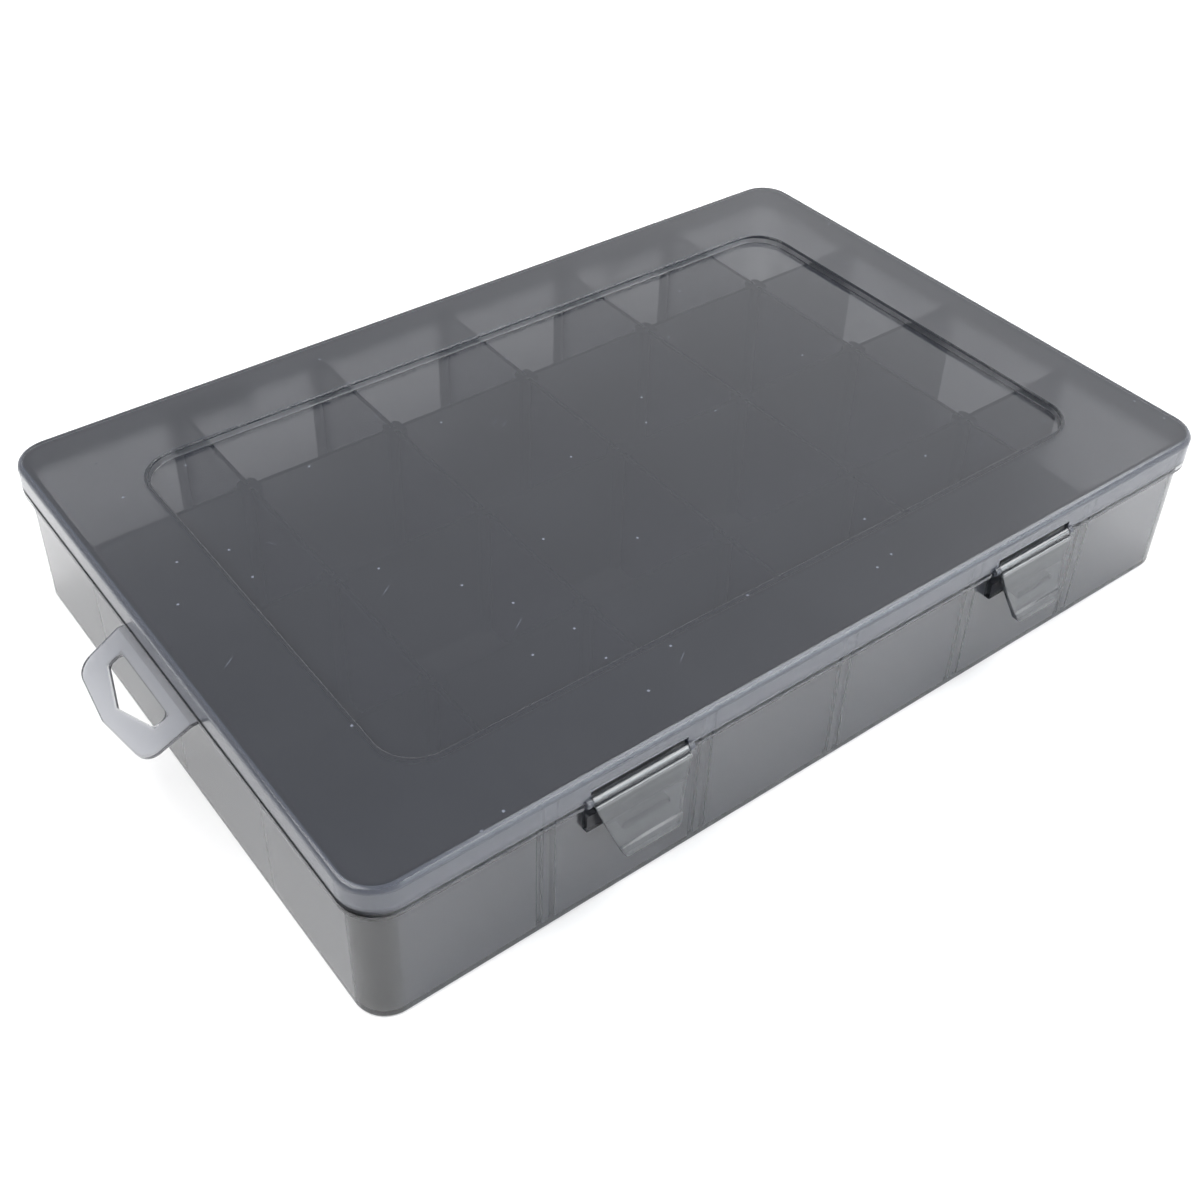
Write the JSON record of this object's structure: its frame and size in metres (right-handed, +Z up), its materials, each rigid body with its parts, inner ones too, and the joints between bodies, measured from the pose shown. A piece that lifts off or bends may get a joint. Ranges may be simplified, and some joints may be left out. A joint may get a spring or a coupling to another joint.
{
  "type": "small parts organizer",
  "caption": "Flat smoke-tinted plastic parts box with a hinged skirted lid, front latches, removable compartment dividers and a slotted hang tab.",
  "frame": {"origin": "middle of the tray's flat underside", "axes": "+X along the front from left to right, +Y from front to back, +Z up"},
  "size_m": [0.3486, 0.2322, 0.055],
  "materials": {
    "tray_plastic": "smoke-tinted translucent polypropylene, satin moulded walls",
    "lid_plastic": "smoke-tinted translucent polypropylene, glossy top with a clearer middle panel",
    "latch_plastic": "smoke-tinted translucent polypropylene, glossy",
    "divider_plastic": "smoke-tinted translucent polypropylene, satin"
  },
  "bodies": {
    "base": {"base_tray": "tray_plastic", "divider_row1_1": "divider_plastic", "divider_row1_2": "divider_plastic", "divider_row1_3": "divider_plastic", "divider_row1_4": "divider_plastic", "divider_row1_5": "divider_plastic", "divider_row2_1": "divider_plastic", "divider_row2_2": "divider_plastic", "divider_row2_3": "divider_plastic", "divider_row2_4": "divider_plastic", "divider_row2_5": "divider_plastic", "divider_row3_1": "divider_plastic", "divider_row3_2": "divider_plastic", "divider_row3_3": "divider_plastic", "divider_row3_4": "divider_plastic", "divider_row3_5": "divider_plastic", "divider_row4_1": "divider_plastic", "divider_row4_2": "divider_plastic", "divider_row4_3": "divider_plastic", "divider_row4_4": "divider_plastic", "divider_row4_5": "divider_plastic"},
    "lid": {"lid": "lid_plastic"},
    "latch_left": {"latch_left": "latch_plastic"},
    "latch_right": {"latch_right": "latch_plastic"}
  },
  "joints": [
    {"name": "lid_hinge", "type": "hinge", "parent": "base", "child": "lid", "pos_m": [0, 0.11166, 0.0416], "axis": [-1, 0, 0], "range_deg": [0, 180]},
    {"name": "latch_left_pivot", "type": "hinge", "parent": "lid", "child": "latch_left", "pos_m": [-0.079, -0.11036, 0.0452], "axis": [-1, 0, 0], "range_deg": [0, 110]},
    {"name": "latch_right_pivot", "type": "hinge", "parent": "lid", "child": "latch_right", "pos_m": [0.079, -0.11036, 0.0452], "axis": [-1, 0, 0], "range_deg": [0, 110]}
  ]
}
